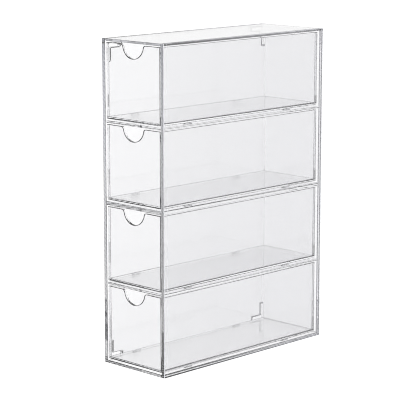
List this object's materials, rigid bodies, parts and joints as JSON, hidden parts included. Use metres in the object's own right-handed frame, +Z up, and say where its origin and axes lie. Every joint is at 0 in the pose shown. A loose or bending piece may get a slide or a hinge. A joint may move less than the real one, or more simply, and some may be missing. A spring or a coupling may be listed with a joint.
{
  "type": "drawer organizer",
  "caption": "Tall, slim clear case of bonded sheet with stacked sliding drawers, each pulled by a half-round finger notch, for cosmetics and small items.",
  "frame": {"origin": "middle of the footprint, on the surface the case stands on", "axes": "+Z up, -Y out of the drawer fronts, +X across to the plain side panel"},
  "size_m": [0.087, 0.233, 0.33],
  "materials": {
    "clear_case": "polished clear acrylic sheet",
    "clear_drawer": "polished clear acrylic sheet",
    "clear_glide": "clear acrylic pad"
  },
  "bodies": {
    "case": {"left_side_panel": "clear_case", "right_side_panel": "clear_case", "top_panel": "clear_case", "bottom_panel": "clear_case", "back_panel": "clear_case", "upper_shelf": "clear_case", "middle_shelf": "clear_case", "lower_shelf": "clear_case"},
    "drawer_1": {"drawer_1_front": "clear_drawer", "drawer_1_floor": "clear_drawer", "drawer_1_left_side": "clear_drawer", "drawer_1_right_side": "clear_drawer", "drawer_1_back": "clear_drawer", "drawer_1_glides": "clear_glide"},
    "drawer_2": {"drawer_2_front": "clear_drawer", "drawer_2_floor": "clear_drawer", "drawer_2_left_side": "clear_drawer", "drawer_2_right_side": "clear_drawer", "drawer_2_back": "clear_drawer", "drawer_2_glides": "clear_glide"},
    "drawer_3": {"drawer_3_front": "clear_drawer", "drawer_3_floor": "clear_drawer", "drawer_3_left_side": "clear_drawer", "drawer_3_right_side": "clear_drawer", "drawer_3_back": "clear_drawer", "drawer_3_glides": "clear_glide"},
    "drawer_4": {"drawer_4_front": "clear_drawer", "drawer_4_floor": "clear_drawer", "drawer_4_left_side": "clear_drawer", "drawer_4_right_side": "clear_drawer", "drawer_4_back": "clear_drawer", "drawer_4_glides": "clear_glide"}
  },
  "joints": [
    {"name": "drawer_1_slide", "type": "slide", "parent": "case", "child": "drawer_1", "axis": [0, -1, 0], "range_m": [-0.002, 0.18]},
    {"name": "drawer_2_slide", "type": "slide", "parent": "case", "child": "drawer_2", "axis": [0, -1, 0], "range_m": [-0.002, 0.18]},
    {"name": "drawer_3_slide", "type": "slide", "parent": "case", "child": "drawer_3", "axis": [0, -1, 0], "range_m": [-0.002, 0.18]},
    {"name": "drawer_4_slide", "type": "slide", "parent": "case", "child": "drawer_4", "axis": [0, -1, 0], "range_m": [-0.002, 0.18]}
  ]
}
